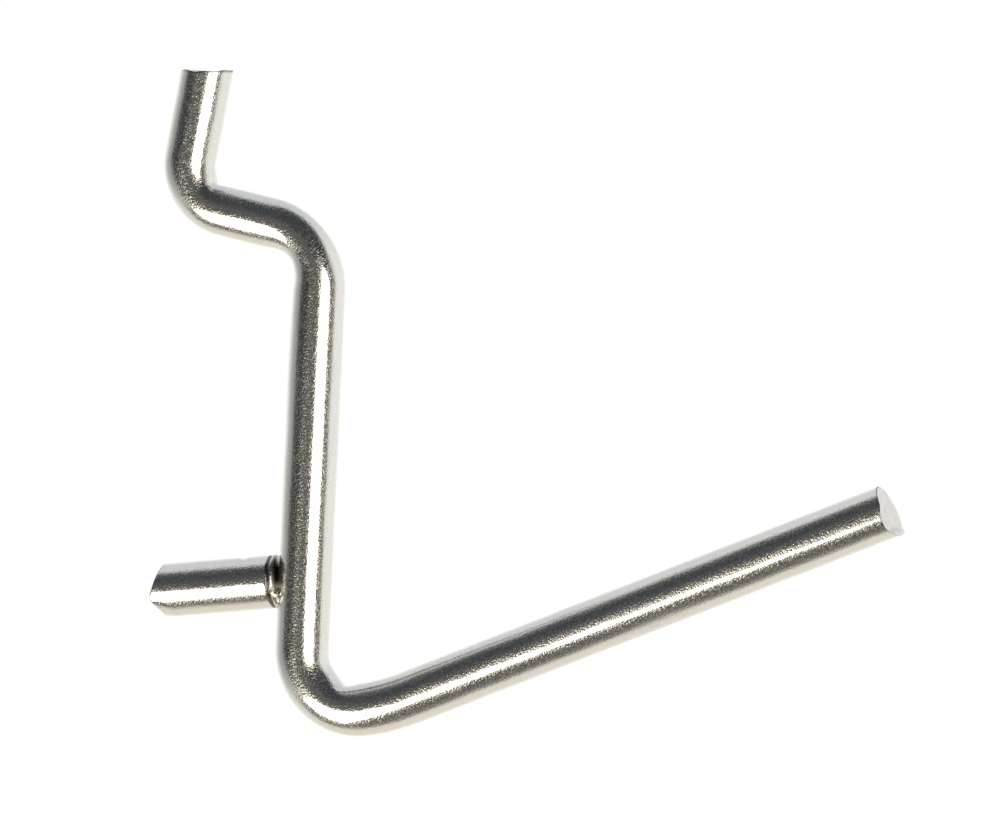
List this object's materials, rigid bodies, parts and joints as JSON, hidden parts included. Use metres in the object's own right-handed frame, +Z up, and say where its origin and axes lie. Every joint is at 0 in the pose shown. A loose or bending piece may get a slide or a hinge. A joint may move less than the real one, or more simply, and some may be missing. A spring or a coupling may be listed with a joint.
{
  "type": "peg hook",
  "caption": "Bent round-wire hook for perforated board, with an upright prong and a welded peg behind its shank and a straight arm rising forward.",
  "frame": {"origin": "where the peg's axis meets the back of the shank, on the plane where the face of the board bears", "axes": "+X out of the board along the arm, +Z up along the shank, +Y across the hook's plane, to the left of someone facing the board"},
  "size_m": [0.0556, 0.004, 0.0467],
  "materials": {
    "zinc_plate": "bright zinc plate over steel wire, shiny with a fine grain"
  },
  "bodies": {
    "root": {"hook_wire": "zinc_plate", "stub_peg": "zinc_plate"}
  },
  "joints": []
}
